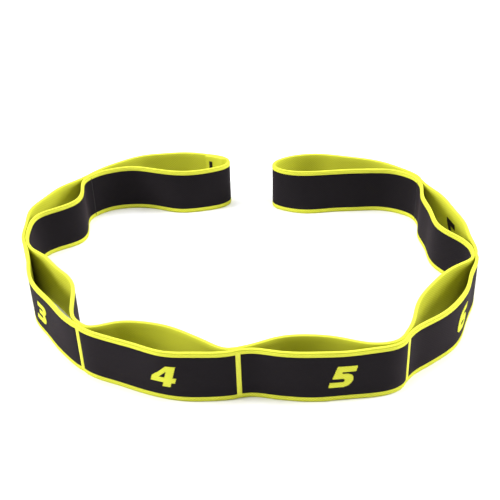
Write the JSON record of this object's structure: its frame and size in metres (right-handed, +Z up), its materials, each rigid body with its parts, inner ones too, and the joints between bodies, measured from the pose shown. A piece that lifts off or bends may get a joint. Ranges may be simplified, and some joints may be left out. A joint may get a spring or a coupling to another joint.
{
  "type": "stretching strap",
  "caption": "Elastic stretching strap of flat two-ply webbing sewn into a row of numbered loops, standing on edge in an open ring.",
  "frame": {"origin": "on the floor, under the middle of the ring", "axes": "+Z up, across the webbing; +X along the ring's longer way, from loop 1 to loop 8; +Y towards the ring's opening"},
  "size_m": [0.338, 0.2799, 0.04],
  "materials": {
    "yellow_weave": "bright fluorescent yellow polyester, fine ribbed elastic weave",
    "black_weave": "black polyester, fine ribbed elastic weave",
    "yellow_thread": "close rows of yellow sewing thread",
    "black_thread": "dense black sewing thread",
    "rubber_thread": "matt natural rubber threads"
  },
  "bodies": {
    "loop_1": {"loop_1_outer_yellow_ground": "yellow_weave", "loop_1_outer_black_face": "black_weave", "loop_1_inner_yellow_ground": "yellow_weave", "loop_1_inner_black_face": "black_weave", "loop_1_rubber_cores": "rubber_thread", "numeral_1": "yellow_weave", "lap_end": "yellow_weave", "lap_bar_tack": "black_thread"},
    "loop_2": {"loop_2_outer_yellow_ground": "yellow_weave", "loop_2_outer_black_face": "black_weave", "loop_2_inner_yellow_ground": "yellow_weave", "loop_2_inner_black_face": "black_weave", "loop_2_rubber_cores": "rubber_thread", "numeral_2": "yellow_weave", "seam_1_2": "yellow_thread"},
    "loop_3": {"loop_3_outer_yellow_ground": "yellow_weave", "loop_3_outer_black_face": "black_weave", "loop_3_inner_yellow_ground": "yellow_weave", "loop_3_inner_black_face": "black_weave", "loop_3_rubber_cores": "rubber_thread", "numeral_3": "yellow_weave", "seam_2_3": "yellow_thread"},
    "loop_4": {"loop_4_outer_yellow_ground": "yellow_weave", "loop_4_outer_black_face": "black_weave", "loop_4_inner_yellow_ground": "yellow_weave", "loop_4_inner_black_face": "black_weave", "loop_4_rubber_cores": "rubber_thread", "numeral_4": "yellow_weave", "seam_3_4": "yellow_thread", "seam_4_5": "yellow_thread"},
    "loop_5": {"loop_5_outer_yellow_ground": "yellow_weave", "loop_5_outer_black_face": "black_weave", "loop_5_inner_yellow_ground": "yellow_weave", "loop_5_inner_black_face": "black_weave", "loop_5_rubber_cores": "rubber_thread", "numeral_5": "yellow_weave", "seam_5_6": "yellow_thread"},
    "loop_6": {"loop_6_outer_yellow_ground": "yellow_weave", "loop_6_outer_black_face": "black_weave", "loop_6_inner_yellow_ground": "yellow_weave", "loop_6_inner_black_face": "black_weave", "loop_6_rubber_cores": "rubber_thread", "numeral_6": "yellow_weave", "seam_6_7": "yellow_thread"},
    "loop_7": {"loop_7_outer_yellow_ground": "yellow_weave", "loop_7_outer_black_face": "black_weave", "loop_7_inner_yellow_ground": "yellow_weave", "loop_7_inner_black_face": "black_weave", "loop_7_rubber_cores": "rubber_thread", "numeral_7": "yellow_weave", "seam_7_8": "yellow_thread"},
    "loop_8": {"loop_8_outer_yellow_ground": "yellow_weave", "loop_8_outer_black_face": "black_weave", "loop_8_inner_yellow_ground": "yellow_weave", "loop_8_inner_black_face": "black_weave", "loop_8_rubber_cores": "rubber_thread", "numeral_8": "yellow_weave"}
  },
  "joints": [
    {"name": "seam_1_2_fold", "type": "hinge", "parent": "loop_2", "child": "loop_1", "pos_m": [-0.12735, 0.10354, 0.02], "axis": [0, 0, 1], "range_deg": [-85, 80]},
    {"name": "seam_2_3_fold", "type": "hinge", "parent": "loop_3", "child": "loop_2", "pos_m": [-0.16146, 0.00159, 0.02], "axis": [0, 0, -1], "range_deg": [-80, 68]},
    {"name": "seam_3_4_fold", "type": "hinge", "parent": "loop_4", "child": "loop_3", "pos_m": [-0.10859, -0.09997, 0.02], "axis": [0, 0, 1], "range_deg": [-8, 80]},
    {"name": "seam_4_5_fold", "type": "hinge", "parent": "loop_4", "child": "loop_5", "pos_m": [-0.00531, -0.13155, 0.02], "axis": [0, 0, 1], "range_deg": [-80, 6]},
    {"name": "seam_5_6_fold", "type": "hinge", "parent": "loop_5", "child": "loop_6", "pos_m": [0.10243, -0.12401, 0.02], "axis": [0, 0, -1], "range_deg": [-45, 80]},
    {"name": "seam_6_7_fold", "type": "hinge", "parent": "loop_6", "child": "loop_7", "pos_m": [0.16552, -0.0339, 0.02], "axis": [0, 0, 1], "range_deg": [-80, 68]},
    {"name": "seam_7_8_fold", "type": "hinge", "parent": "loop_7", "child": "loop_8", "pos_m": [0.14538, 0.07474, 0.02], "axis": [0, 0, -1], "range_deg": [-85, 80]}
  ]
}
